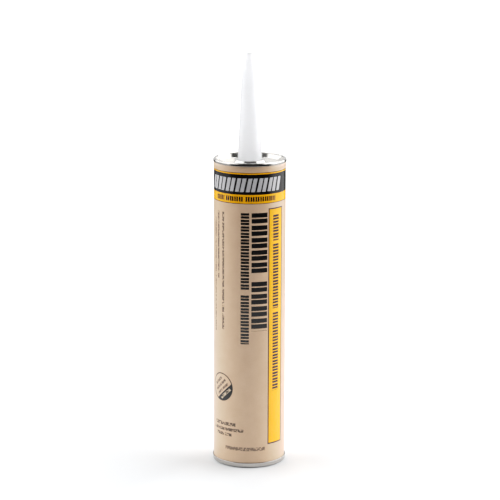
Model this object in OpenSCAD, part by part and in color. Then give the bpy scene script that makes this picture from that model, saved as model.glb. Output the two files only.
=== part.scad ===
// A construction adhesive cartridge that stands on its rear ring, nozzle up.
// Millimetres, +Z along the axis towards the nozzle, origin at the centre of the foot.
// The printed face looks along -Y.

/* [Barrel] */
// Height from the floor to the crown of the top seam
body_h = 217; // [180:0.5:300]
// Outside diameter over the printed paper
body_od = 50; // [44:0.5:70]
// Wall of the spiral-wound fibreboard tube
tube_wall = 1.1; // [0.8:0.1:2]
// Thickness of the printed paper wrap
label_t = 0.15; // [0.1:0.05:0.4]

/* [Top end] */
// Thickness of the tinplate that the end and the plunger are stamped from
tin_t = 0.25; // [0.2:0.05:0.4]
// Height of the seam's outer leg
seam_h = 2.3; // [1.8:0.1:4]
// How far the seam stands out from the paper
seam_out = 0.4; // [0.3:0.05:0.8]
// Folded metal between the tube's edge and the crown
crown_t = 0.7; // [0.5:0.1:1.2]
// Drop from the crown to the panel
panel_drop = 3.8; // [3.3:0.1:5]
// How far the chuck wall slopes inwards on its way down
chuck_slope = 0.9; // [0.3:0.1:2]
// Diameter of the flat top of the boss that holds the nozzle
boss_d = 20.5; // [20.5:0.5:30]
// Height of the boss above the panel
boss_h = 2.7; // [1.8:0.1:3.3]
// How far the boss spreads at its foot
boss_slope = 1.5; // [0.6:0.1:3]

/* [Nozzle] */
// Length of the nozzle above the boss
nozzle_h = 73.5; // [50:0.5:120]
// Outside diameter at the root
nozzle_d = 16.6; // [14:0.1:18]
// Straight stretch above the boss, before the taper
collar_h = 8; // [2:0.5:14]
// Diameter where the taper steepens
shoulder_d = 11.3; // [9:0.1:13]
// Length of the steeper taper below the tip
shoulder_h = 16; // [10:0.5:25]
// Radius that blends the two tapers
shoulder_round = 90; // [10:1:120]
// Outside diameter of the closed tip
tip_d = 4.7; // [4:0.1:7]
// Plastic that closes the tip
tip_t = 3; // [1.5:0.1:6]
// Wall of the nozzle
nozzle_wall = 1.2; // [0.8:0.1:1.6]
// Diameter of the flange trapped under the boss
flange_d = 19; // [18.2:0.1:19.4]
// Thickness of the flange
flange_t = 1; // [0.6:0.1:1.3]
// Diameter of the foil seal welded under the flange
seal_d = 17.6; // [15:0.1:18]
// Thickness of the foil seal
seal_t = 0.1; // [0.06:0.01:0.2]

/* [Rear ring] */
// Height of the ring's outer bead
ring_h = 3.6; // [2.6:0.1:8]
// How far the bead stands out from the paper
ring_out = 0.7; // [0.4:0.05:1.2]
// Gap that the ring's flared upper edge leaves to the paper
ring_gap = 0.25; // [0:0.05:0.35]
// Folded metal under the tube's rear edge
foot_t = 0.7; // [0.5:0.1:1.2]
// Height of the lip inside the bore, which the pusher enters through
lip_h = 6; // [4:0.5:12]
// Thickness of that lip
lip_t = 0.6; // [0.4:0.05:1]

/* [Plunger and contents] */
// Height of the plunger's front face above the floor in a full tube
plunger_z = 44.5; // [22:0.5:120]
// Length of the plunger's skirt
skirt_h = 12; // [6:0.5:15]
// Radius of the bend between the plunger's web and its skirt
skirt_round = 1.5; // [0.6:0.1:3]
// Diameter of the flat middle that the pusher bears on
web_d = 26; // [14:0.5:32]
// Width of the pressed groove around it
groove_w = 4; // [3:0.1:6]
// Depth of that groove
groove_d = 1.2; // [0.6:0.1:1.7]
// Running clearance around the plunger and ahead of it
slip = 0.3; // [0.2:0.05:0.5]
// Film between the contents and the foil-lined wall
film = 0.1; // [0.05:0.05:0.2]

/* [Print] */
// Height of the band's lower edge below the crown
band_drop = 27.8; // [20:0.1:60]
// Height of the yellow strip at the foot of the band
strip_h = 6; // [3:0.1:15]
// Height of the black field above it
field_h = 14.2; // [6:0.1:30]
// Height of the yellow rule that closes the band
rule_h = 0.8; // [0.5:0.1:3]
// Width of the upright yellow panel, measured round the tube
panel_w = 12; // [4:0.1:20]
// Distance round the tube from the front to the panel's middle
panel_s = 20.5; // [0:0.1:40]
// Gap between the band and the upright panel
panel_gap = 4.8; // [2:0.1:20]
// Height of the upright panel's foot above the floor
panel_foot = 17.2; // [8:0.1:60]
// Gap between the band and the two upright titles
title_gap = 6.7; // [2:0.1:20]
// Lengths of the large title's two words and of the space between them
large_words = [42.5, 35, 5.9]; // [1:0.1:60]
// Width of the large title round the tube
large_w = 11.5; // [4:0.1:14]
// Distance round the tube from the front to the large title's middle
large_s = 7.05; // [-30:0.05:30]
// Lengths of the small title's two words and of the space between them
small_words = [54.5, 34.9, 3.4]; // [1:0.1:60]
// Width of the small title round the tube
small_w = 5.9; // [3:0.1:10]
// Distance round the tube from the front to the small title's middle
small_s = -3.25; // [-30:0.05:30]

/* [Hidden] */
$fn = 128;
body_r = body_od / 2;
paper_r = body_r - label_t;
bore_r = paper_r - tube_wall;
tube_top = body_h - crown_t;
panel_z = body_h - panel_drop;
boss_z = panel_z + boss_h;
boss_r = boss_d / 2;
nozzle_r = nozzle_d / 2;
flange_top = boss_z - tin_t;
flange_z = flange_top - flange_t;
tip_z = boss_z + nozzle_h;
shoulder_z = tip_z - shoulder_h;
collar_z = boss_z + collar_h;
nozzle_hole_gap = 0.05;
lip_r = bore_r - lip_t;
plunger_r = bore_r - slip;
band_z = body_h - band_drop;
field_z = band_z + strip_h;
rule_z = field_z + field_h;
title_z = band_z - title_gap;
bend_steps = 6;
seam_w = seam_out + label_t + tube_wall + tin_t;
seam_inner_round = 0.3 * seam_w;
seam_outer_round = 0.6 * seam_w;
seam_edge_round = 0.7 * seam_out;
ring_flare = 2 * ring_gap;
bead_top_round = 0.4 * (ring_out - ring_gap);
bead_foot_round = 1.3;
lip_foot_round = 0.4;
lip_edge_round = 0.2;
metal_bend = 0.5;
cut_over = 1;
tip_round = 0.6;
flange_round = 0.25;
tin_colour = [0.80, 0.81, 0.83];
board_colour = [0.66, 0.52, 0.38];
paper_colour = [0.80, 0.69, 0.54];
ink_colour = [0.12, 0.10, 0.09];
yellow_colour = [0.98, 0.76, 0.13];
plastic_colour = [0.93, 0.94, 0.96];
foil_colour = [0.75, 0.76, 0.78];
paste_colour = [0.82, 0.74, 0.60];

function unit(v) = v / norm(v);

// Points of the arc of radius r that rounds the corner b between a and c. Radius 0 keeps the corner.
function bend(a, b, c, r) = r == 0 ? [b] :
    let (
        u = unit(a - b),
        v = unit(c - b),
        half = acos(u * v) / 2,
        middle = b + unit(u + v) * r / sin(half),
        from = b + u * r / tan(half) - middle,
        to = b + v * r / tan(half) - middle
    )
    [for (i = [0:bend_steps]) middle + r * unit((1 - i / bend_steps) * from + i / bend_steps * to)];

// A closed outline whose corners are [radius, height, rounding].
function outline(corners) =
    let (n = len(corners), p = [for (c = corners) [c[0], c[1]]])
    [for (i = [0:n - 1]) each bend(p[(i + n - 1) % n], p[i], p[(i + 1) % n], corners[i][2])];

// The same for an open path, whose two ends stay sharp.
function rounded_path(corners) =
    let (n = len(corners), p = [for (c = corners) [c[0], c[1]]])
    [for (i = [0:n - 1]) each i == 0 || i == n - 1 ? [p[i]] : bend(p[i - 1], p[i], p[i + 1], corners[i][2])];

// The path moved sideways by d, to its left.
function beside(path, d) =
    let (last = len(path) - 1)
    [for (i = [0:last])
        let (
            u = unit(path[max(i, 1)] - path[max(i, 1) - 1]),
            v = unit(path[min(i, last - 1) + 1] - path[min(i, last - 1)]),
            n = unit([-u[1] - v[1], u[0] + v[0]])
        )
        path[i] + n * d / (n * [-u[1], u[0]])];

// Sheet metal of thickness t whose left face follows the path.
function sheet(path, t) =
    let (back = beside(path, -t), last = len(path) - 1)
    concat(path, [for (i = [0:last]) back[last - i]]);

module turned(points, colour) {
    color(colour)
        rotate_extrude()
            polygon(points);
}

// A hollow cylinder between two radii and two heights.
module sleeve(inner, outer, low, high) {
    translate([0, 0, low])
        difference() {
            cylinder(r = outer, h = high - low);
            translate([0, 0, -cut_over])
                cylinder(r = inner, h = high - low + 2 * cut_over);
        }
}

// Spiral-wound fibreboard, open at both ends.
module tube() {
    color(board_colour)
        sleeve(bore_r, paper_r, foot_t, tube_top);
}

// A patch of the paper between two heights, w wide round the tube, its middle s from the front.
module patch(low, high, s, w) {
    turn = 180 / PI / body_r;
    edges = [for (side = [-1, 1]) (s + side * w / 2) * turn - 90];
    intersection() {
        sleeve(paper_r, body_r, low, high);
        translate([0, 0, low])
            linear_extrude(high - low)
                polygon([[0, 0], for (a = edges) body_od * [cos(a), sin(a)]]);
    }
}

// A title that reads downwards: two words, given as [first, second, space].
module title(words, s, w) {
    second = title_z - words[0] - words[2];
    patch(title_z - words[0], title_z, s, w);
    patch(second - words[1], second, s, w);
}

module yellow_print() {
    sleeve(paper_r, body_r, band_z, field_z);
    sleeve(paper_r, body_r, rule_z, rule_z + rule_h);
    patch(panel_foot, band_z - panel_gap, panel_s, panel_w);
}

module black_print() {
    sleeve(paper_r, body_r, field_z, rule_z);
    title(large_words, large_s, large_w);
    title(small_words, small_s, small_w);
}

// Printed paper, wrapped round the tube from end to end.
module label() {
    color(paper_colour)
        difference() {
            sleeve(paper_r, body_r, foot_t, tube_top);
            yellow_print();
            black_print();
        }
    color(yellow_colour)
        yellow_print();
    color(ink_colour)
        black_print();
}

// Tinplate end: a seam folded over the tube's edge, a sloping chuck wall, a panel and a boss.
module top_end() {
    seam_z = body_h - seam_h;
    seam_r = body_r + seam_out;
    chuck_r = bore_r - tin_t;
    foot_r = chuck_r - chuck_slope;
    seam = outline([
        [chuck_r, tube_top, 0],
        [chuck_r, body_h, seam_inner_round],
        [seam_r, body_h, seam_outer_round],
        [seam_r, seam_z, seam_edge_round],
        [body_r, seam_z, 0],
        [body_r, tube_top, 0],
    ]);
    panel = sheet(rounded_path([
        [nozzle_r + nozzle_hole_gap, boss_z],
        [boss_r, boss_z, metal_bend],
        [boss_r + boss_slope, panel_z, metal_bend],
        [foot_r, panel_z, metal_bend],
        [chuck_r, tube_top, metal_bend],
        [chuck_r, tube_top + tin_t],
    ]), tin_t);
    color(tin_colour)
        rotate_extrude()
            union() {
                polygon(seam);
                polygon(panel);
            }
}

// Moulded nozzle with a closed tip, open at its root. Its flange is trapped under the boss.
module nozzle() {
    inner_r = nozzle_r - nozzle_wall;
    turned(outline([
        [inner_r, flange_z, 0],
        [flange_d / 2, flange_z, flange_round],
        [flange_d / 2, flange_top, flange_round],
        [nozzle_r, flange_top, 0],
        [nozzle_r, collar_z, shoulder_round],
        [shoulder_d / 2, shoulder_z, shoulder_round],
        [tip_d / 2, tip_z, tip_round],
        [0, tip_z, 0],
        [0, tip_z - tip_t, 0],
        [tip_d / 2 - nozzle_wall, tip_z - tip_t, 0],
        [shoulder_d / 2 - nozzle_wall, shoulder_z, 0],
        [inner_r, collar_z, 0],
    ]), plastic_colour);
}

// Foil disc across the nozzle's root, pierced before use.
module nozzle_seal() {
    color(foil_colour)
        translate([0, 0, flange_z - seal_t])
            cylinder(d = seal_d, h = seal_t);
}

// Tinplate ring folded over the tube's rear edge, with a bead outside and a lip inside. The bead's
// upper edge flares away from the paper and leaves a narrow groove.
module bottom_ring() {
    ring_r = body_r + ring_out;
    turned(outline([
        [lip_r, 0, lip_foot_round],
        [lip_r, lip_h, lip_edge_round],
        [bore_r, lip_h, 0],
        [bore_r, foot_t, 0],
        [body_r, foot_t, 0],
        [body_r, ring_h - ring_flare, 0],
        [body_r + ring_gap, ring_h, 0],
        [ring_r, ring_h, bead_top_round],
        [ring_r, 0, bead_foot_round],
    ]), tin_colour);
}

// Stamped cup, open to the rear, that the pusher drives along the bore.
module plunger() {
    web_r = web_d / 2;
    turned(sheet(rounded_path([
        [plunger_r, plunger_z - skirt_h],
        [plunger_r, plunger_z, skirt_round],
        [web_r + groove_w, plunger_z, metal_bend],
        [web_r + groove_w - groove_d, plunger_z - groove_d, metal_bend],
        [web_r + groove_d, plunger_z - groove_d, metal_bend],
        [web_r, plunger_z, metal_bend],
        [0, plunger_z],
    ]), -tin_t), tin_colour);
}

// The contents, from the plunger to the underside of the panel.
module adhesive() {
    low = plunger_z + slip;
    color(paste_colour)
        translate([0, 0, low])
            cylinder(r = bore_r - film, h = panel_z - tin_t - low);
}

tube();
label();
top_end();
nozzle();
nozzle_seal();
bottom_ring();
plunger();
adhesive();
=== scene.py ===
# %% [markdown]
# # A construction adhesive cartridge
# The real thing is a fibreboard barrel wrapped in printed paper, with a bright tinplate end
# seamed on its front, a tinplate ring folded over its rear edge and a milky plastic nozzle.
# The metal pieces, the barrel and the foil arrive as finished solids and only need a surface.
# Three pieces are made again here: the paper wrap, the nozzle and the adhesive inside.

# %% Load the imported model
import math

import bpy
import numpy as np
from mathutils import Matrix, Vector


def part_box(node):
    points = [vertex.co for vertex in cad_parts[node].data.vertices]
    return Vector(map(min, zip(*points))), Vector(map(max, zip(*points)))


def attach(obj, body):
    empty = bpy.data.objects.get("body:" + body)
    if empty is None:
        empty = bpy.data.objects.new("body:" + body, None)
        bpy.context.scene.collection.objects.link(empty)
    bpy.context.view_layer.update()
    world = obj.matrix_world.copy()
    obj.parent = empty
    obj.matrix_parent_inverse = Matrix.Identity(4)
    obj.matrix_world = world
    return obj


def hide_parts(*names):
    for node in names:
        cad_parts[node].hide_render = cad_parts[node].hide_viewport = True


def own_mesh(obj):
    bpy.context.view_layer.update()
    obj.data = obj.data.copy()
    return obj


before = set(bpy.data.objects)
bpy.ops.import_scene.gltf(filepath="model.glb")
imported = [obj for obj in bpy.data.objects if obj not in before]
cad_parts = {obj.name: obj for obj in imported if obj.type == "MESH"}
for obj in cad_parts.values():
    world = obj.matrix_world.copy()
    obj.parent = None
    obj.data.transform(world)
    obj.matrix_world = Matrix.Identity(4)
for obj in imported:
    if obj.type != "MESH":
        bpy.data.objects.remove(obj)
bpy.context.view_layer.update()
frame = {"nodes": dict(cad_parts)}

print("nodes:", ", ".join(frame["nodes"]))

# %% [markdown]
# ## Sizes
# Everything is in metres in the script and in millimetres in words, so `MM` turns one into the
# other. The solids give the radii and heights that a new piece has to meet.

# %% Take the sizes from the frame
MM = 0.001
wrap_low, wrap_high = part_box("label")
body_r = wrap_high.x
crown_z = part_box("top_end")[1].z
nozzle_low, nozzle_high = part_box("nozzle")
paste_low, paste_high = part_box("adhesive")
print(f"body radius {body_r / MM:.2f} mm, crown {crown_z / MM:.1f} mm, tip {nozzle_high.z / MM:.1f} mm")

# %% [markdown]
# ## Small tools for materials
# A colour is written as it would be picked on a screen, so one function turns its hex value
# into the linear numbers that the renderer adds up. Another adds one shader node, sets what it
# needs and links its inputs, which keeps a material to one short line for each node. The last
# two start a material from its constants and give it to a piece.

# %% Colours and nodes
def linear(hex_colour):
    """The sRGB hex value as linear red, green, blue and alpha 1, by the two branches of the standard."""
    value = np.array([int(hex_colour[i:i + 2], 16) for i in (1, 3, 5)]) / 255
    low, high = value / 12.92, ((value + 0.055) / 1.055) ** 2.4
    return (*np.where(value <= 0.04045, low, high).tolist(), 1.0)


def add(tree, kind, inputs=(), **settings):
    """Adds a node, applies its settings and fills its inputs with values or other nodes' outputs."""
    node = tree.nodes.new(kind)
    for name, value in settings.items():
        setattr(node, name, value)
    for key, value in dict(inputs).items():
        if isinstance(value, bpy.types.NodeSocket):
            tree.links.new(value, node.inputs[key])
        else:
            node.inputs[key].default_value = value
    return node


def principled(name, **sockets):
    """A new material with one Principled shader and these constants: (material, tree, shader)."""
    material = bpy.data.materials.new(name)
    material.use_nodes = True
    shader = material.node_tree.nodes["Principled BSDF"]
    for socket, value in sockets.items():
        shader.inputs[socket.replace("_", " ")].default_value = value
    return material, material.node_tree, shader


def dress(piece, material):
    """Gives the piece this one material."""
    piece.data.materials.clear()
    piece.data.materials.append(material)


print("middle grey on a screen is", round(linear("#808080")[0], 3), "in linear light")

# %% [markdown]
# ## Surfaces of two parameters
# A rolled sheet or a turned piece is a grid of points, worked out from two parameters as one
# array, and neighbouring points make its quads. Smooth shading hides the facets. It stops where
# two faces meet at more than a set angle, so a cut edge stays crisp.

# %% Faces and meshes
sharp_bend = math.radians(35)


def grid_faces(rows, columns, closed):
    """Quads between neighbouring points of a grid, as vertex numbers. A closed grid also joins its
    last column to its first."""
    r = np.arange(rows - 1)[:, None]
    c = np.arange(columns if closed else columns - 1)[None]
    beside = (c + 1) % columns
    corners = r * columns + c, r * columns + beside, (r + 1) * columns + beside, (r + 1) * columns + c
    return np.stack(np.broadcast_arrays(*corners), -1).reshape(-1, 4)


def new_piece(name, points, faces):
    """An object at the origin whose mesh has these points in metres and these faces, shaded smooth."""
    mesh = bpy.data.meshes.new(name)
    mesh.from_pydata(points.tolist(), [], faces)
    mesh.shade_smooth()
    mesh.set_sharp_from_angle(angle=sharp_bend)
    piece = bpy.data.objects.new(name, mesh)
    bpy.context.scene.collection.objects.link(piece)
    print(f"{name}: {len(mesh.vertices)} vertices, {len(mesh.polygons)} faces")
    return piece


print("a closed grid of 2 by 4 points has", len(grid_faces(2, 4, True)), "quads")

# %% [markdown]
# ## The paper wrap
# On the real cartridge one sheet of printed paper is rolled round the barrel and glued where its
# end laps over its start. A plain cylinder would have no lap, so this is a true sheet: its outer
# face is a grid of `s`, the distance round the barrel, and height, and Solidify gives it the
# paper's thickness. The lap lies at the back. The grid's own `s` and `z`, in millimetres, become
# a UV map, and the print is laid out on it with a ruler, as on a flat sheet.

# %% Roll the sheet
paper_t = 0.15 * MM
lap = 8 * MM
lap_climb = 1.2 * MM
lap_gap = 0.02 * MM


def rolled_sheet(name, columns=420, rows=60):
    """Distance s from the front and height z go to (R sin(s / body_r), -R cos(s / body_r), z). R is the
    barrel's radius, and it climbs over one thickness of paper just before the sheet meets its start."""
    half_turn = math.pi * body_r
    s = np.linspace(-half_turn, half_turn + lap, columns)
    z = np.linspace(wrap_low.z, wrap_high.z, rows)[:, None]
    climb = np.clip((s - half_turn + lap_climb) / lap_climb, 0, 1)
    radius = body_r + (paper_t + lap_gap) * climb * climb * (3 - 2 * climb)
    across, deep = radius * np.sin(s / body_r), -radius * np.cos(s / body_r)
    points = np.stack([across + 0 * z, deep + 0 * z, z + 0 * s], -1)
    faces = grid_faces(rows, columns, False)
    piece = new_piece(name, points.reshape(-1, 3), faces.tolist())
    flat = np.stack([s + 0 * z, z + 0 * s], -1).reshape(-1, 2) / MM
    uv = piece.data.uv_layers.new(name="print")
    uv.uv.foreach_set("vector", flat[faces.ravel()].astype(np.float32).ravel())
    thicken = piece.modifiers.new("paper", "SOLIDIFY")
    thicken.thickness = paper_t
    thicken.offset = -1
    return piece


paper_wrap = rolled_sheet("paper_wrap")
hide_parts("label")
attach(paper_wrap, "barrel")

# %% [markdown]
# ## Profiles
# The nozzle and the adhesive are round, so each is a profile carried round the Z axis. The
# profile is written as a few corners with their roundings, as a draughtsman would, and a
# function fills in the arcs. Long straight stretches get extra points, so that smooth shading
# stays straight there and bends only in the arcs.

# %% Profiles
def unit(v):
    """The same direction with the length 1."""
    return v / np.linalg.norm(v)


def rounded(corners, arc_steps=10):
    """An open profile from (radius, height, rounding) corners, with its two ends kept as they are.
    The arc of radius q in a corner starts q / tan(half the corner's angle) away on both sides."""
    points = np.array([c[:2] for c in corners], float)
    share = np.linspace(0, 1, arc_steps + 1)[:, None]
    out = [points[:1]]
    for before, corner, after, (_, _, q) in zip(points, points[1:], points[2:], corners[1:-1]):
        if q == 0:
            out.append(corner[None])
            continue
        u, v = unit(before - corner), unit(after - corner)
        half = math.acos(u @ v) / 2
        middle = corner + unit(u + v) * q / math.sin(half)
        way = corner + ((1 - share) * u + share * v) * q / math.tan(half) - middle
        out.append(middle + q * way / np.linalg.norm(way, axis=1, keepdims=True))
    return np.concatenate(out + [points[-1:]])


def filled(profile, longest):
    """The profile with its straight stretches cut into equal steps no longer than this."""
    step = np.diff(profile, axis=0)
    cuts = np.maximum(1, np.ceil(np.linalg.norm(step, axis=1) / longest)).astype(int)
    which = np.repeat(np.arange(len(step)), cuts)
    share = (np.arange(cuts.sum()) - np.repeat(np.cumsum(cuts) - cuts, cuts)) / cuts[which]
    return np.concatenate([profile[which] + share[:, None] * step[which], profile[-1:]])


print("one rounded corner has", len(rounded([(0, 0, 0), (1, 0, 0.2), (1, 1, 0)])), "points with its ends")

# %% [markdown]
# ## Turning
# A profile could be spun with the Screw modifier, but worked out as an array it needs no
# modifier and its faces are known to point outwards. Both of its ends lie on the axis, where a
# fan of triangles closes the surface in a single vertex.

# %% Turn a profile
def turned(name, profile, around):
    """The profile round the Z axis: its point (r, z) at the angle a goes to (r cos a, r sin a, z).
    It starts and ends on the axis and runs upwards on the outside, so that its faces look outwards."""
    angle = np.linspace(0, 2 * np.pi, around, endpoint=False)
    r, z = profile[1:-1, :1], profile[1:-1, 1:]
    ring_points = np.stack([r * np.cos(angle), r * np.sin(angle), z + 0 * angle], -1).reshape(-1, 3)
    poles = np.array([[0, 0, profile[0, 1]], [0, 0, profile[-1, 1]]])
    first, last = len(ring_points), len(ring_points) + 1
    edge = np.arange(around)
    beside = (edge + 1) % around
    top = edge + first - around
    fans = [(first, b, e) for e, b in zip(edge.tolist(), beside.tolist())]
    fans += [(t, b + first - around, last) for t, b in zip(top.tolist(), beside.tolist())]
    faces = grid_faces(len(r), around, True).tolist() + fans
    return new_piece(name, np.concatenate([ring_points, poles]), faces)


facets_round = 128
print(f"each facet of a turned piece spans {360 / facets_round:.2f} degrees")

# %% [markdown]
# ## The nozzle
# The nozzle is moulded in low density polyethylene, a soft milky plastic, with its tip left
# closed. A short collar stands a hair wider than the taper above it, and the taper bends in
# towards the tip in one long curve. Such a thin cone never comes out of its mould quite
# straight, so this one leans a little to one side, growing with the square of the height.

# %% Turn the nozzle
wall = 1.2 * MM
root_r = 8.3 * MM
collar_step = 0.15 * MM
collar_top = 222.4 * MM
collar_slope = 0.3 * MM
collar_round = 0.1 * MM
taper_z = 224 * MM
shoulder_r, shoulder_z = 5.65 * MM, 273.4 * MM
taper_bend, shoulder_bend, inner_bend = 20 * MM, 90 * MM, 60 * MM
tip_r = 2.35 * MM
tip_wall = 3 * MM
tip_round = 0.5 * MM
flange_t = 1 * MM
flange_round = 0.25 * MM
root_round = 0.1 * MM
nozzle_step = 0.8 * MM
lean = -0.6 * MM


def nozzle_profile():
    """Down the inside from the closed tip, round the flange and up the outside to the tip."""
    foot, tip, flange_r = nozzle_low.z, nozzle_high.z, nozzle_high.x
    cone_r = root_r - collar_step
    return rounded([
        (0, tip - tip_wall, 0),
        (tip_r - wall, tip - tip_wall, tip_round),
        (shoulder_r - wall, shoulder_z, inner_bend),
        (root_r - wall, taper_z, inner_bend),
        (root_r - wall, foot, root_round),
        (flange_r, foot, flange_round),
        (flange_r, foot + flange_t, flange_round),
        (root_r, foot + flange_t, 0),
        (root_r, collar_top, collar_round),
        (cone_r, collar_top + collar_slope, collar_round),
        (cone_r, taper_z, taper_bend),
        (shoulder_r, shoulder_z, shoulder_bend),
        (tip_r, tip, tip_round),
        (0, tip, 0),
    ])


nozzle = turned("nozzle_moulding", filled(nozzle_profile(), nozzle_step), facets_round)
co = np.empty(len(nozzle.data.vertices) * 3, np.float32)
nozzle.data.vertices.foreach_get("co", co)
co = co.reshape(-1, 3)
height_share = np.clip((co[:, 2] - crown_z) / (nozzle_high.z - crown_z), 0, 1)
co[:, 0] += lean * height_share ** 2
nozzle.data.vertices.foreach_set("co", co.ravel())
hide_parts("nozzle")
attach(nozzle, "barrel")

# %% [markdown]
# ## The adhesive
# The paste fills the barrel from the plunger to the end. It is shut in, but it is a real piece,
# turned as it stands at rest and given a mesh of its own.

# %% Turn the paste
paste_bend = 0.4 * MM
paste_step = 2 * MM
adhesive = turned("adhesive_paste", filled(rounded([
    (0, paste_low.z, 0),
    (paste_high.x, paste_low.z, paste_bend),
    (paste_high.x, paste_high.z, paste_bend),
    (0, paste_high.z, 0),
]), paste_step), facets_round)
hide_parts("adhesive")
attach(adhesive, "barrel")
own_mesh(adhesive)

# %% [markdown]
# ## Masks to print with
# The wrap is a kraft-coloured sheet, printed by offset in solid yellow and black and varnished.
# The ink lies flat in the paper, so it is a matter of colour and gloss and needs no relief. An
# image could hold the print, but it would blur close up, so every printed shape is a mask, 1 on
# the ink and 0 beside it, worked out from `s` and `z` on the flat sheet.

# %% Masks
def combine(tree, operation, masks):
    """The masks joined into one. MAXIMUM keeps what any of them covers, and MULTIPLY what all of
    them cover."""
    whole, *rest = masks
    for mask in rest:
        whole = add(tree, "ShaderNodeMath", {0: whole, 1: mask}, operation=operation).outputs[0]
    return whole


def window(tree, *spans):
    """1 where the place in each span (place, low, high) lies between its two marks, in millimetres."""
    inside = []
    for place, low, high in spans:
        inputs = {0: place, 1: (low + high) / 2, 2: (high - low) / 2}
        inside.append(add(tree, "ShaderNodeMath", inputs, operation="COMPARE").outputs[0])
    return combine(tree, "MULTIPLY", inside)


paper, tree, shader = principled("offset_printed_kraft_paper", IOR=1.5)
sheet = add(tree, "ShaderNodeUVMap", uv_map="print").outputs[0]
ruler = add(tree, "ShaderNodeSeparateXYZ", {0: sheet})
s, z = ruler.outputs[0], ruler.outputs[1]
print("the sheet's rulers read", s.name, "and", z.name)

# %% [markdown]
# ## Bars and specks
# Rows of plain bars give the sheet its large rhythm, and lines of ragged specks its small one.
# A row repeats one short unit, which a remainder does with a few nodes, however long the row is.
# A noise that is cut at one level gives specks.

# %% Bars and specks
speck_size = 1.111
speck_low, speck_high = 0.42, 0.48


def bars(tree, place, start, end, widths, gaps):
    """Bars on a run from start to end: 1 on each bar. One bar of each width, with its gap after it,
    makes a unit, and the remainder of the distance by the unit's length says where in it a point lies."""
    sign = 1 if end > start else -1
    inputs = {0: place, 1: sign, 2: -sign * start}
    along = add(tree, "ShaderNodeMath", inputs, operation="MULTIPLY_ADD").outputs[0]
    unit_length = sum(widths) + sum(gaps)
    inside = add(tree, "ShaderNodeMath", {0: along, 1: unit_length}, operation="FLOORED_MODULO").outputs[0]
    starts = np.cumsum([0, *np.add(widths, gaps)[:-1]]).tolist()
    inked = combine(tree, "MAXIMUM", [window(tree, (inside, a, a + w)) for a, w in zip(starts, widths)])
    return combine(tree, "MULTIPLY", [inked, window(tree, (along, 0, abs(end - start)))])


def bar_row(tree, across, along, low, high, runs, widths, gaps):
    """Runs of bars, (start, end) each, in a row that reaches from low to high across its direction."""
    inked = [bars(tree, along, start, end, widths, gaps) for start, end in runs]
    return combine(tree, "MULTIPLY", [window(tree, (across, low, high)), combine(tree, "MAXIMUM", inked)])


def specks(tree, sheet, seed, lines):
    """Ragged specks, kept to the lines: 1 where a noise rises over its cut."""
    inputs = {"Vector": sheet, "Scale": 1 / speck_size, "Detail": 1.5, "Roughness": 0.6, "W": seed}
    blot = add(tree, "ShaderNodeTexNoise", inputs, noise_dimensions="4D").outputs[0]
    cut = {"Value": blot, "From Min": speck_low, "From Max": speck_high}
    blot = add(tree, "ShaderNodeMapRange", cut).outputs[0]
    return combine(tree, "MULTIPLY", [blot, combine(tree, "MAXIMUM", lines)])


print(f"a speck is about {speck_size:.1f} mm across")

# %% [markdown]
# ### The layout
# A band closes the top of the sheet: a yellow rule, a black field with a row of slanted silver
# bars and a yellow strip with a row of small black ones, all between thin black rules. Below it
# two rows of black bars and a bordered yellow panel run downwards. All places are in
# millimetres, `s` to the right of the front and `z` above the foot.

# %% Lay out the print
strip_low, field_low, rule_low, rule_high = 189.2, 195.2, 209.3, 210.1
hairline = 0.4
panel_left, panel_right, panel_low, panel_high = 14.5, 26.5, 17.2, 184.4
border = 0.85
large_row = {
    "low": 1.3, "high": 12.8, "runs": [(182.5, 140), (134.1, 99.1)],
    "widths": (3.2, 3.2), "gaps": (0.8, 1.5)}
small_row = {
    "low": -6.2, "high": -0.3, "runs": [(182.5, 128), (124.6, 89.7)],
    "widths": (1.7, 1.7), "gaps": (0.4, 0.75)}
strip_row = {
    "low": 190.5, "high": 193.9, "runs": [(-27, -19.4), (-17.8, -4.6), (-2.9, 19.5)],
    "widths": (1.2, 1.2), "gaps": (0.4, 0.6)}
panel_row = {
    "low": 17.6, "high": 23.2, "runs": [(180.2, 162), (159.7, 113.9), (111, 54.9)],
    "widths": (1.5, 1.4), "gaps": (0.55, 0.85)}
silver_row = {
    "low": 197.2, "high": 206.6, "runs": [(-75, -17.5)],
    "widths": (2.7, 2.7), "gaps": (0.9, 1.4)}
slope = 0.21

border_across = (s, panel_left - border, panel_right + border)
border_upwards = (z, panel_low - border, panel_high + border)
panel_border = window(tree, border_across, border_upwards)
yellow = combine(tree, "MAXIMUM", [
    window(tree, (z, strip_low, field_low)),
    window(tree, (z, rule_low, rule_high)),
    window(tree, (s, panel_left, panel_right), (z, panel_low, panel_high)),
])
black = combine(tree, "MAXIMUM", [
    window(tree, (z, field_low, rule_low)),
    window(tree, (z, strip_low - hairline, strip_low)),
    window(tree, (z, rule_high, rule_high + hairline)),
    bar_row(tree, s, z, **large_row),
    bar_row(tree, s, z, **small_row),
    bar_row(tree, z, s, **strip_row),
])
panel_bars = bar_row(tree, s, z, **panel_row)
slanted = add(tree, "ShaderNodeMath", {0: z, 1: -slope, 2: s}, operation="MULTIPLY_ADD").outputs[0]
silver_bars = bar_row(tree, z, slanted, **silver_row)
print("nodes in the layout:", len(tree.nodes))

# %% [markdown]
# ### The roundel and the fine lines
# The roundel is a ring with a dark foot, turned on the sheet, so it gets axes of its own: `along`
# its lines and `up` across them. The fine lines are lists of places, each line one window.

# %% Roundel and fine lines
roundel_s, roundel_z, roundel_r, roundel_rim = -22, 56.8, 10.1, 0.75
roundel_turn = math.radians(42)
foot_top = -3.6
foot_line_low, foot_line_high, foot_line_half = -6.8, -4.8, 5.5
# Each line across the roundel: up from, up to, and half its length
roundel_lines = ((-2.6, -0.9, 6.5), (0.7, 2.6, 6.5), (4.2, 6.1, 4.5))
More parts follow.
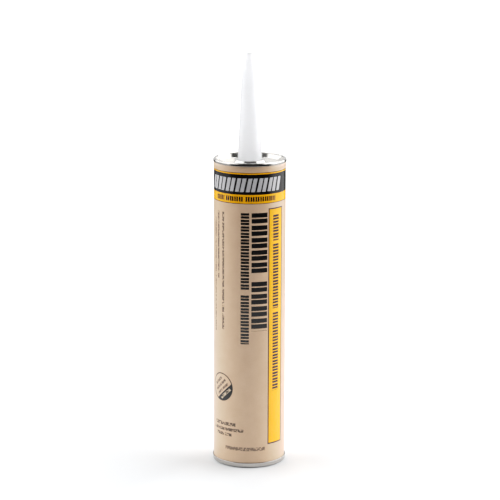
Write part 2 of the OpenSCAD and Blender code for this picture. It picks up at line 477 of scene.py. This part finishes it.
# Each line on the sheet: s from, s to, z from, z to
sheet_lines = (
    (-21.4, -19.5, 98.6, 182), (-26.6, -24.8, 134.5, 182), (-30.7, -29, 96, 177),
    (-29, -9.8, 29.4, 31.9), (-31, -4, 25.6, 27.8), (-27.3, -12.8, 21.9, 24.1))
lowest_line = (-18, 11.5, 12.2, 14.8)

placing = {"Vector": sheet, "Location": (roundel_s, roundel_z, 0), "Rotation": (0, 0, roundel_turn)}
own = add(tree, "ShaderNodeMapping", placing, vector_type="TEXTURE").outputs[0]
roundel_axes = add(tree, "ShaderNodeSeparateXYZ", {0: own})
along, up = roundel_axes.outputs[0], roundel_axes.outputs[1]
from_centre = add(tree, "ShaderNodeVectorMath", {0: own}, operation="LENGTH").outputs["Value"]
roundel = combine(tree, "MAXIMUM", [
    window(tree, (from_centre, roundel_r - roundel_rim, roundel_r)),
    window(tree, (from_centre, -roundel_r, roundel_r), (up, -roundel_r, foot_top)),
])


def sheet_line(left, right, low, high):
    """The mask of one line between these places on the sheet."""
    return window(tree, (s, left, right), (z, low, high))


def roundel_line(low, high, half):
    """The mask of one line on the roundel, centred on its upright axis."""
    return window(tree, (up, low, high), (along, -half, half))


foot_specks = specks(tree, own, 5.0, [roundel_line(foot_line_low, foot_line_high, foot_line_half)])
fine_specks = combine(tree, "MAXIMUM", [
    specks(tree, sheet, 3.0, [sheet_line(*line) for line in sheet_lines]),
    specks(tree, own, 8.0, [roundel_line(*line) for line in roundel_lines]),
])
lowest_specks = specks(tree, sheet, 6.0, [sheet_line(*lowest_line)])
print("nodes in the print:", len(tree.nodes))

# %% [markdown]
# ### Paper and ink
# The sheet's pulp is mottled, finely by its fibres and broadly by the way it was made, and each
# ink is laid over it in turn. The varnish lies smooth on solid ink and sinks a little into bare
# paper, so the inked fields are less rough and give the eye a clearer shine than the kraft.

# %% Ink the sheet
fleck_size, cloud_size = 0.714, 9.09
mottle_low, mottle_high = 0.7, 1.3
bare_least, bare_most, inked_roughness = 0.30, 0.42, 0.2
fibre_depth = 0.02 * MM
ink, gold, silver_grey = linear("#070606"), linear("#FAAE04"), linear("#BDBCBE")
brown, cream = linear("#2B1C12"), linear("#CDB99F")

flecks = {"Vector": sheet, "Scale": 1 / fleck_size, "Detail": 6.0, "Roughness": 0.62}
fibre = add(tree, "ShaderNodeTexNoise", flecks).outputs[0]
clouds = {"Vector": sheet, "Scale": 1 / cloud_size, "Detail": 3.0}
cloud = add(tree, "ShaderNodeTexNoise", clouds).outputs[0]
mottle = add(tree, "ShaderNodeMath", {0: fibre, 1: cloud}, operation="ADD").outputs[0]
spread = {"Value": mottle, "From Min": mottle_low, "From Max": mottle_high}
mottle = add(tree, "ShaderNodeMapRange", spread).outputs[0]
kraft = {0: mottle, 6: linear("#C8A98C"), 7: linear("#D1B397")}
colour = add(tree, "ShaderNodeMix", kraft, data_type="RGBA")
for mask, pigment, cover in (
    (lowest_specks, brown, 0.7), (fine_specks, brown, 0.85), (roundel, ink, 1.0),
    (foot_specks, cream, 0.9), (panel_border, brown, 1.0), (yellow, gold, 1.0),
    (black, ink, 1.0), (silver_bars, silver_grey, 1.0), (panel_bars, brown, 1.0),
):
    amount = add(tree, "ShaderNodeMath", {0: mask, 1: cover}, operation="MULTIPLY").outputs[0]
    colour = add(tree, "ShaderNodeMix", {0: amount, 6: colour.outputs[2], 7: pigment}, data_type="RGBA")
tree.links.new(colour.outputs[2], shader.inputs["Base Color"])
dulling = {"Value": fibre, "To Min": bare_least, "To Max": bare_most}
bare_roughness = add(tree, "ShaderNodeMapRange", dulling).outputs[0]
solid = combine(tree, "MAXIMUM", [black, yellow])
roughness = add(tree, "ShaderNodeMix", {0: solid, 2: bare_roughness, 3: inked_roughness}).outputs[0]
tree.links.new(roughness, shader.inputs["Roughness"])
bump = add(tree, "ShaderNodeBump", {"Height": fibre, "Strength": 0.05, "Distance": fibre_depth})
tree.links.new(bump.outputs[0], shader.inputs["Normal"])
dress(paper_wrap, paper)
print(paper.name, "has", len(tree.nodes), "nodes")

# %% [markdown]
# ## Tinplate
# Tinplate is cold-rolled steel with a thin bright coat of tin. The eye gets a mirror that is a
# little soft, with the faint straight grain of the rolling mill across it, and dull finger marks.
# The real grain is finer than the render can show, so it is drawn coarser. The ring at the rear
# sits in the shade by the table, and that shade is painted into it as a darker copy of the tin.

# %% Tinplate
grain_length, grain_width = 16.7 * MM, MM / 3
grain_depth = 0.01 * MM
smear_size = 11.1 * MM


def tinplate(name, darker, lighter, polished, dull):
    """Tinplate between two shades and two roughnesses, with its grain across the sheet."""
    material, tree, shader = principled(name, Metallic=1.0)
    place = add(tree, "ShaderNodeTexCoord").outputs["Object"]
    stretch = {"Vector": place, "Scale": (1 / grain_length, 1 / grain_width, 1 / grain_length)}
    stretch = add(tree, "ShaderNodeMapping", stretch).outputs[0]
    grain = add(tree, "ShaderNodeTexNoise", {"Vector": stretch, "Scale": 1.0, "Detail": 4.0}).outputs[0]
    smears = {"Vector": place, "Scale": 1 / smear_size, "Detail": 3.0}
    smear = add(tree, "ShaderNodeTexNoise", smears).outputs[0]
    shades = {0: grain, 6: linear(darker), 7: linear(lighter)}
    shade = add(tree, "ShaderNodeMix", shades, data_type="RGBA")
    tree.links.new(shade.outputs[2], shader.inputs["Base Color"])
    soft = {"Value": smear, "From Min": 0.3, "From Max": 0.75, "To Min": polished, "To Max": dull}
    tree.links.new(add(tree, "ShaderNodeMapRange", soft).outputs[0], shader.inputs["Roughness"])
    bump = add(tree, "ShaderNodeBump", {"Height": grain, "Strength": 0.06, "Distance": grain_depth})
    tree.links.new(bump.outputs[0], shader.inputs["Normal"])
    return material


tin = tinplate("bright_tinplate", "#ABA9A6", "#BDBBB7", 0.1, 0.17)
# Painted shade: the ring at the foot gets a darker copy of the same tinplate.
tin_darkened_as_painted_shade = tinplate("tinplate_with_painted_shade", "#A5A29F", "#B5B2AE", 0.1, 0.18)
for name in ("top_end", "plunger"):
    dress(frame["nodes"][name], tin)
dress(frame["nodes"]["bottom_ring"], tin_darkened_as_painted_shade)
print("tinplate:", tin.name, "and", tin_darkened_as_painted_shade.name)

# %% [markdown]
# ## Low density polyethylene
# The nozzle is moulded in natural polyethylene, which is milky: light passes through its wall
# and is scattered on the way, so its shadows are weak. Transmission with a high roughness gives
# that, and a thin clear coat gives the moulded skin its soft shine. Faint rings run round it,
# as a mould that was turned on a lathe leaves them.

# %% Polyethylene
flow_length, ring_step = 25 * MM, 1.43 * MM
ring_depth = 0.03 * MM
plastic, tree, shader = principled(
    "moulded_polyethylene", Base_Color=linear("#FEFEFF"), Roughness=0.9, IOR=1.51,
    Transmission_Weight=0.9, Coat_Weight=0.5, Coat_Roughness=0.25)
place = add(tree, "ShaderNodeTexCoord").outputs["Object"]
flow = {"Vector": place, "Scale": (1 / flow_length, 1 / flow_length, 1 / ring_step)}
flow = add(tree, "ShaderNodeMapping", flow).outputs[0]
rings = add(tree, "ShaderNodeTexNoise", {"Vector": flow, "Scale": 1.0, "Detail": 2.0}).outputs[0]
bump = add(tree, "ShaderNodeBump", {"Height": rings, "Strength": 0.25, "Distance": ring_depth})
tree.links.new(bump.outputs[0], shader.inputs["Normal"])
dress(nozzle, plastic)
print(plastic.name, "has rings about", round(ring_step / MM, 1), "mm apart")

# %% [markdown]
# ## Foil-lined fibreboard
# The barrel is wound from brown board with a foil lining glued to its inside. Both are one
# solid here, so one material tells them apart by the distance from the axis: foil near the bore,
# a bright metal, and matt brown pulp outside it.

# %% Board
lining_depth = 1 * MM
pulp_size = 1.11 * MM
pulp_relief = 0.05 * MM
board, tree, shader = principled("foil_lined_fibreboard")
place = add(tree, "ShaderNodeTexCoord").outputs["Object"]
flat = add(tree, "ShaderNodeVectorMath", {0: place, 1: (1, 1, 0)}, operation="MULTIPLY").outputs[0]
radius = add(tree, "ShaderNodeVectorMath", {0: flat}, operation="LENGTH").outputs["Value"]
lining_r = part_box("tube")[1].x - lining_depth
lined = add(tree, "ShaderNodeMath", {0: radius, 1: lining_r}, operation="LESS_THAN").outputs[0]
pulp = add(tree, "ShaderNodeTexNoise", {"Vector": place, "Scale": 1 / pulp_size, "Detail": 5.0}).outputs[0]
shades = {0: pulp, 6: linear("#8A6A48"), 7: linear("#A88762")}
shade = add(tree, "ShaderNodeMix", shades, data_type="RGBA")
pulp_or_foil = {0: lined, 6: shade.outputs[2], 7: linear("#C9CACC")}
colour = add(tree, "ShaderNodeMix", pulp_or_foil, data_type="RGBA")
tree.links.new(colour.outputs[2], shader.inputs["Base Color"])
tree.links.new(lined, shader.inputs["Metallic"])
rough = add(tree, "ShaderNodeMapRange", {"Value": lined, "To Min": 0.85, "To Max": 0.32}).outputs[0]
tree.links.new(rough, shader.inputs["Roughness"])
bump = add(tree, "ShaderNodeBump", {"Height": pulp, "Strength": 0.3, "Distance": pulp_relief})
tree.links.new(bump.outputs[0], shader.inputs["Normal"])
dress(frame["nodes"]["tube"], board)
print(f"foil shows inside the radius {lining_r / MM:.2f} mm")

# %% [markdown]
# ## Aluminium foil
# The seal across the nozzle's root is a disc of the same foil. Rolled thin and pressed into
# place, it is a bright metal with soft creases, which a bump shows, helped by painted shade that darkens
# the foil in their hollows.

# %% Foil
crease_size = 2.5 * MM
crease_depth = 0.05 * MM
foil, tree, shader = principled("aluminium_foil", Metallic=1.0, Roughness=0.3)
place = add(tree, "ShaderNodeTexCoord").outputs["Object"]
wrinkles = {"Vector": place, "Scale": 1 / crease_size, "Detail": 3.0}
crease_relief_and_painted_shade = add(tree, "ShaderNodeTexNoise", wrinkles).outputs[0]
# Painted shade: the foil's colour is darker where the creases sink.
shades = {0: crease_relief_and_painted_shade, 6: linear("#C4C5C8"), 7: linear("#D8D9DB")}
shade = add(tree, "ShaderNodeMix", shades, data_type="RGBA")
tree.links.new(shade.outputs[2], shader.inputs["Base Color"])
bump = add(tree, "ShaderNodeBump", {"Height": crease_relief_and_painted_shade, "Strength": 0.4, "Distance": crease_depth})
tree.links.new(bump.outputs[0], shader.inputs["Normal"])
dress(frame["nodes"]["nozzle_seal"], foil)
print(foil.name, "has creases of", round(crease_size / MM, 1), "mm")

# %% [markdown]
# ## Adhesive paste
# The contents are a dense beige putty. A little light enters it and comes out nearby, and its
# surface is lumpy where it was pressed into the barrel.

# %% Paste
lump_size = 4 * MM
lump_height = 0.2 * MM
paste, tree, shader = principled(
    "beige_adhesive_paste", Roughness=0.5, Subsurface_Weight=0.2, Subsurface_Scale=2 * MM)
place = add(tree, "ShaderNodeTexCoord").outputs["Object"]
lumps = add(tree, "ShaderNodeTexNoise", {"Vector": place, "Scale": 1 / lump_size, "Detail": 4.0}).outputs[0]
shades = {0: lumps, 6: linear("#C6B08C"), 7: linear("#DCC9A8")}
shade = add(tree, "ShaderNodeMix", shades, data_type="RGBA")
tree.links.new(shade.outputs[2], shader.inputs["Base Color"])
bump = add(tree, "ShaderNodeBump", {"Height": lumps, "Strength": 0.5, "Distance": lump_height})
tree.links.new(bump.outputs[0], shader.inputs["Normal"])
dress(adhesive, paste)
print("materials:", ", ".join(m.name for m in (paper, tin, tin_darkened_as_painted_shade, plastic, board, foil, paste)))

# %% [markdown]
# ## The table
# The cartridge stands on a plain white table, which only has to catch its shadow. A round disc
# is enough, wide enough to pass the sides and the foot of the picture. Its matt laminate is a
# pale grey, because under so much light a purer white clips and the shadow is lost in it.

# %% Table
table_r = 0.5


def disc(name, radius, rings=24, around=96):
    """Ring i of the grid has the radius i / rings of the whole, at height 0."""
    angle = np.linspace(0, 2 * np.pi, around, endpoint=False)
    r = np.linspace(radius / rings, radius, rings)[:, None]
    points = np.stack([r * np.cos(angle), r * np.sin(angle), 0 * r + 0 * angle], -1).reshape(-1, 3)
    faces = grid_faces(rings, around, True)[:, ::-1].tolist()
    fan = [(len(points), e, (e + 1) % around) for e in range(around)]
    return new_piece(name, np.concatenate([points, [[0, 0, 0]]]), faces + fan)


table = disc("table", table_r)
laminate, tree, shader = principled("white_table", Base_Color=linear("#E2E4E6"), Roughness=0.7)
dress(table, laminate)

# %% [markdown]
# ## The light tent
# Shiny metal shows what stands round it, so the light is a whole room painted on the world by
# direction, and no lamp leaves a hard spot. A bright cloth stands on the right, a dimmer one on
# the left and one behind, with dim gaps between them. The room on the camera's side is dark,
# which gives the tin its dark lines, and the tent is open at the very top. Two rings of marks,
# one low and one high, hold the brightness round the table.

# %% Mark the cloths
gap_power = 0.3
fade = 5
left_gap_back, left_gap_front, right_gap_back = -147, -142, 150


def cloths(back, left, right, left_front, right_front, right_back, room):
    """Marks of (azimuth in degrees, brightness) once round the table, with 0 on the camera's side and
    90 on the right. Each cloth fades into the dim gap beside it over the same few degrees."""
    return (
        (-180, back),
        (left_gap_back - fade, back),
        (left_gap_back, gap_power),
        (left_gap_front, gap_power),
        (left_gap_front + fade, left),
        (left_front, left),
        *room,
        (right_front, right),
        (right_back, right),
        (right_back + fade, gap_power),
        (right_gap_back, gap_power),
        (right_gap_back + fade, back),
        (180, back),
    )


low_ring = cloths(
    back=1.1, left=3.55, right=6.5, left_front=-70, right_front=80, right_back=138,
    room=[(-62, 0.2), (-30, 0.06), (66, 0.06)])
high_ring = cloths(
    back=3.6, left=3.7, right=4.8, left_front=-58, right_front=66, right_back=140,
    room=[(-50, 0.25), (56, 0.25)])
print("marks in the low and the high ring:", len(low_ring), "and", len(high_ring))

# %% [markdown]
# ### From marks to light
# The world's direction gives an azimuth and a height, which is the sine of the elevation. The
# azimuth is read on a curve through a ring's marks, and the height blends the two rings, darkens
# the opening at the top and dims the light from below the table. What the camera sees past the
# table is plain white, so the picture's background stays clean.

# %% Hang the tent
brightest = 8.0
high_from, high_full = 0.35, 0.55
opening_from, opening_full = 0.88, 0.92
below_full, below_from, below_share = -0.12, 0.02, 0.2
background_seen = 2.0
world = bpy.data.worlds.new("light_tent")
bpy.context.scene.world = world
world.use_nodes = True
tree = world.node_tree
toward = add(tree, "ShaderNodeTexCoord").outputs["Generated"]
axes = add(tree, "ShaderNodeSeparateXYZ", {0: toward})
height = axes.outputs[2]
nearer = add(tree, "ShaderNodeMath", {0: axes.outputs[1], 1: -1.0}, operation="MULTIPLY").outputs[0]
azimuth = add(tree, "ShaderNodeMath", {0: axes.outputs[0], 1: nearer}, operation="ARCTAN2").outputs[0]
turned_by = {"Value": azimuth, "From Min": -math.pi, "From Max": math.pi}
place = add(tree, "ShaderNodeMapRange", turned_by).outputs[0]


def ring(tree, place, marks):
    """The brightness round the table, straight between marks of (azimuth in degrees, brightness)."""
    node = add(tree, "ShaderNodeFloatCurve", {"Value": place})
    curve = node.mapping.curves[0]
    first, *middle, last = [((angle + 180) / 360, power / brightest) for angle, power in marks]
    curve.points[0].location = first
    curve.points[1].location = last
    for mark in middle:
        curve.points.new(*mark)
    for point in curve.points:
        point.handle_type = "VECTOR"
    node.mapping.update()
    return add(tree, "ShaderNodeMath", {0: node.outputs[0], 1: brightest}, operation="MULTIPLY").outputs[0]


rise = {"Value": height, "From Min": high_from, "From Max": high_full}
rise = add(tree, "ShaderNodeMapRange", rise).outputs[0]
glow = {0: rise, 2: ring(tree, place, low_ring), 3: ring(tree, place, high_ring)}
glow = add(tree, "ShaderNodeMix", glow).outputs[0]
overhead = {
    "Value": height, "From Min": opening_from, "From Max": opening_full, "To Min": 1.0, "To Max": 0.0}
overhead = add(tree, "ShaderNodeMapRange", overhead).outputs[0]
glow = add(tree, "ShaderNodeMath", {0: glow, 1: overhead}, operation="MULTIPLY").outputs[0]
sink = {"Value": height, "From Min": below_full, "From Max": below_from, "To Min": below_share}
sink = add(tree, "ShaderNodeMapRange", sink).outputs[0]
glow = add(tree, "ShaderNodeMath", {0: glow, 1: sink}, operation="MULTIPLY").outputs[0]
seen = add(tree, "ShaderNodeLightPath").outputs["Is Camera Ray"]
power = add(tree, "ShaderNodeMix", {0: seen, 2: glow, 3: background_seen}).outputs[0]
tree.links.new(power, tree.nodes["Background"].inputs["Strength"])
tree.nodes["Background"].inputs["Color"].default_value = (1, 1, 1, 1)
print(world.name, "has", len(tree.nodes), "nodes")

# %% [markdown]
# ## Camera
# The photograph was taken with a long lens, about a metre and a half away and a little above the
# cartridge, and the camera was turned by about a fifth of a degree. Its place is written as a
# matrix, whose columns are the camera's right, its up, and the way back from what it looks at.

# %% Camera
stand_back, camera_up, camera_right = 1.45165, 0.46909, 0.28 * MM
look_down = math.radians(12.347)
turn = math.radians(0.181)
sensor = 36
picture = 500
focal_pixels = 2125.46
data = bpy.data.cameras.new("camera")
data.sensor_width = sensor
data.lens = focal_pixels / picture * sensor
data.clip_start, data.clip_end = 0.01, 20
camera = bpy.data.objects.new("camera", data)
bpy.context.scene.collection.objects.link(camera)
bpy.context.scene.camera = camera
ahead = np.array([0, math.cos(look_down), -math.sin(look_down)])
level_up = np.array([0, math.sin(look_down), math.cos(look_down)])
level_right = np.array([1.0, 0, 0])
right = math.cos(turn) * level_right + math.sin(turn) * level_up
up = math.cos(turn) * level_up - math.sin(turn) * level_right
pose = np.eye(4)
pose[:3, 0], pose[:3, 1], pose[:3, 2] = right, up, -ahead
pose[:3, 3] = camera_right, -stand_back, camera_up
camera.matrix_world = pose.T.tolist()
print(f"lens {data.lens:.0f} mm, looking down by {math.degrees(look_down):.1f} degrees")

# %% [markdown]
# ## Film
# A studio picture is bright in its middle tones while its whites keep some shading. So the curve
# lifts the middle, and the white level lets light a little brighter than white fit in before it
# clips.

# %% Film
white_level = 1.4
film_points = (
    (0.036, 0.04), (0.236, 0.30), (0.357, 0.455), (0.536, 0.64), (0.714, 0.765), (0.857, 0.87))
settings = bpy.context.scene.view_settings
settings.view_transform = "Standard"
settings.use_curve_mapping = True
film = settings.curve_mapping
film.white_level = (white_level, white_level, white_level)
for light, picture_light in film_points:
    film.curves[3].points.new(light, picture_light)
film.update()
print("film:", settings.view_transform, "with", len(film.curves[3].points), "points")
